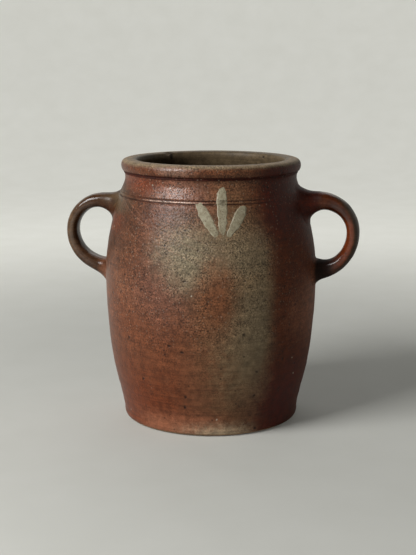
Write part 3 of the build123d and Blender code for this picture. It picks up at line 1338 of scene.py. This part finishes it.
@dataclass(frozen=True)
class StudioFloor:
    """A pale painted floor that curves up into a wall all round, faintly mottled by the roller."""

    name: str = "rolled_wall_paint"
    colour: str = "#b8b8b2"
    shade: str = "#b1b1aa"
    roughness: float = 0.8
    seen_glow: float = 1.0
    floor_glow: float = 0.12
    glow_reach: Span = (250.0, 1200.0)
    mottle_size: float = 60.0
    flat_radius: float = 1700.0
    curve_radius: float = 900.0
    wall_height: float = 2200.0
    sides: int = 128
    curve_steps: int = 14
    merge: float = 1.0

    def build(self) -> Piece:
        """Extrude the floor's edge up in a cove.

        Returns:
            The floor.
        """
        clear_selection()
        bpy.ops.mesh.primitive_circle_add(
            vertices=self.sides, radius=self.flat_radius * MM, location=(0, 0, 0))
        piece = bpy.context.object
        piece.name = "studio_floor"
        edit_all(piece)
        bpy.ops.mesh.edge_face_add()
        bpy.ops.mesh.duplicate()
        bpy.ops.mesh.delete(type="ONLY_FACE")
        bpy.ops.mesh.select_mode(type="EDGE")
        form = bmesh.from_edit_mesh(piece.data)
        for edge in form.edges:
            edge.select_set(edge.is_wire)
        bmesh.update_edit_mesh(piece.data)
        before, low = self.flat_radius, 0.0
        for radius, height in self.cove():
            bpy.ops.mesh.extrude_region_move(TRANSFORM_OT_translate={"value": (0, 0, (height - low) * MM)})
            grow = radius / before
            bpy.ops.transform.resize(value=(grow, grow, 1), center_override=(0, 0, 0))
            before, low = radius, height
        close_up(piece, self.merge, inside=True)
        piece.data.materials.append(self.material())
        return piece

    def cove(self) -> list[Point]:
        """Rings where the floor curves up, and the wall's top.

        Returns:
            Radius and height of each ring.
        """
        turns = [math.pi / 2 * step / self.curve_steps for step in range(1, self.curve_steps + 1)]
        rings = [
            (self.flat_radius + self.curve_radius * math.sin(turn), self.curve_radius * (1 - math.cos(turn)))
            for turn in turns]
        return [*rings, (rings[-1][0], self.wall_height)]

    def material(self) -> bpy.types.Material:
        """Build the paint.

        Returns:
            The material.
        """
        board = NodeBoard(self.name)
        place = board.add("TexCoord", {}, "Object")
        mottle = board.add(
            "TexNoise", {"Vector": place, "Scale": 1 / (self.mottle_size * MM), "Detail": 4.0}, "Fac")
        colour = board.add("Mix", {
            SHARE: mottle, BELOW: linear(self.colour), ABOVE: linear(self.shade)}, MIXED, data_type="RGBA")
        seen = board.add("LightPath", {}, "Is Camera Ray")
        rays = seen.node.outputs
        for ray in (rays["Is Glossy Ray"], rays["Is Transmission Ray"]):
            seen = board.add("Math", {0: seen, 1: ray}, operation="ADD")
        off = board.add("VectorMath", {0: place}, "Value", operation="LENGTH")
        near, far = self.glow_reach
        glow = board.add("MapRange", {
            "Value": off, "From Min": near * MM, "From Max": far * MM,
            "To Min": self.floor_glow, "To Max": self.seen_glow}, interpolation_type="SMOOTHSTEP")
        seen = board.add("Math", {0: seen, 1: glow}, operation="MULTIPLY")
        shader = board.add("BsdfPrincipled", {
            "Base Color": colour, "Roughness": self.roughness, "Emission Color": colour,
            "Emission Strength": seen})
        board.add("OutputMaterial", {"Surface": shader})
        return board.material


@dataclass(frozen=True)
class SoftLight:
    """A soft studio lamp aimed at the pot: where it stands, seen from the camera, and how large it is."""

    name: str
    around: float
    raised: float
    distance: float
    size: float
    power: float
    colour: str = "#ffffff"

    def build(self) -> None:
        """Hang the lamp and point it at the pot."""
        lift = math.radians(self.raised)
        way = way_round(self.around) * math.cos(lift)
        way.z = math.sin(lift)
        clear_selection()
        bpy.ops.object.light_add(
            type="AREA", location=Vector((0.0, 0.0, LAMP_AIM)) * MM + way * self.distance * MM)
        lamp = bpy.context.object
        lamp.name = self.name
        lamp.rotation_euler = (-way).to_track_quat("-Z", "Y").to_euler()
        lamp.data.shape = "SQUARE"
        lamp.data.size = self.size * MM
        lamp.data.energy = self.power
        lamp.data.color = linear(self.colour)[:3]


@dataclass(frozen=True)
class PhotoCamera:
    """The camera at the photograph's place, looking slightly down at the front of the pot."""

    dip: float = 11.118
    distance: float = 1151.6
    aim_side: float = -2.8
    aim_height: float = 133.6
    lens: float = 77.0
    sensor: float = 36.0

    def build(self) -> None:
        """Set up the scene's camera."""
        dip = math.radians(self.dip)
        aim = way_round(90.0) * self.aim_side
        aim.z = self.aim_height
        back = way_round(0.0) * math.cos(dip)
        back.z = math.sin(dip)
        clear_selection()
        bpy.ops.object.camera_add(location=(aim + back * self.distance) * MM)
        camera = bpy.context.object
        camera.name = "photo_camera"
        camera.rotation_euler = (-back).to_track_quat("-Z", "Y").to_euler()
        camera.data.lens = self.lens
        camera.data.sensor_width = self.sensor
        bpy.context.scene.camera = camera


def finish_piece(piece: Piece, finish: bpy.types.Material, slot: str, *nodes: str) -> None:
    """Give a piece its finish and tie it to the part.

    Args:
        piece: The piece.
        finish: Its material.
        slot: The record's material slot; not used.
        *nodes: The CAD nodes that the piece stands for.
    """
    piece.data.materials.clear()
    piece.data.materials.append(finish)
    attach(piece, "root")
    if nodes:
        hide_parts(*nodes)
    LOG.info("%s: %d faces", piece.name, len(piece.data.polygons))


def set_studio() -> None:
    """Lay the floor, hang the lamps, set the world's light and put up the camera."""
    floor = StudioFloor().build()
    lamps = (
        SoftLight("window_key", around=-54.0, raised=34.0, distance=1600.0, size=780.0, power=31.0),
        SoftLight("back_fill", around=178.0, raised=48.0, distance=1600.0, size=1300.0, power=4.5),
    )
    for lamp in lamps:
        lamp.build()
    world = bpy.data.worlds.new("studio_world")
    world.use_nodes = True
    background = world.node_tree.nodes["Background"]
    background.inputs["Color"].default_value = linear(WORLD_COLOUR)
    background.inputs["Strength"].default_value = WORLD_STRENGTH
    bpy.context.scene.world = world
    PhotoCamera().build()


def main() -> None:
    """Build and dress the pot, then set the studio."""
    logging.basicConfig(level=logging.INFO)
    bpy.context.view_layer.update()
    _, wall_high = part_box("pot_body")
    body = PotBody(height=wall_high.z / MM - RIM_ROOM, belly_radius=wall_high.y / MM - BELLY_ROOM)
    glaze = SaltGlaze().material()
    thrown = body.build()
    finish_piece(thrown, glaze, "body_stoneware", "pot_body")
    handles = (
        StrapHandle(
            "left_strap", "left_handle", turn=180.0, body=body, top_drop=42.9, reach=37.3, lower_bend=33.5,
            lower_turn=63.0, top_thick=14.8, side_thick=10.9, foot_thick=14.4, root_rise=5.0,
            root_rise_length=17.0),
        StrapHandle(
            "right_strap", "right_handle", turn=0.0, body=body, top_drop=38.0, reach=35.3, lower_bend=38.3,
            lower_turn=78.0, top_thick=17.8, side_thick=12.0, foot_thick=14.6, root_rise=5.5,
            root_rise_length=24.0),
    )
    for handle in handles:
        finish_piece(handle.build(thrown), glaze, "handle_stoneware", handle.node)
    slip = BrushedSlip().material()
    for dab in SlipSprig(body).build(thrown):
        finish_piece(dab, slip, "body_stoneware")
    set_studio()
    bpy.context.scene.view_settings.view_transform = "Standard"


if __name__ == "__main__":
    main()
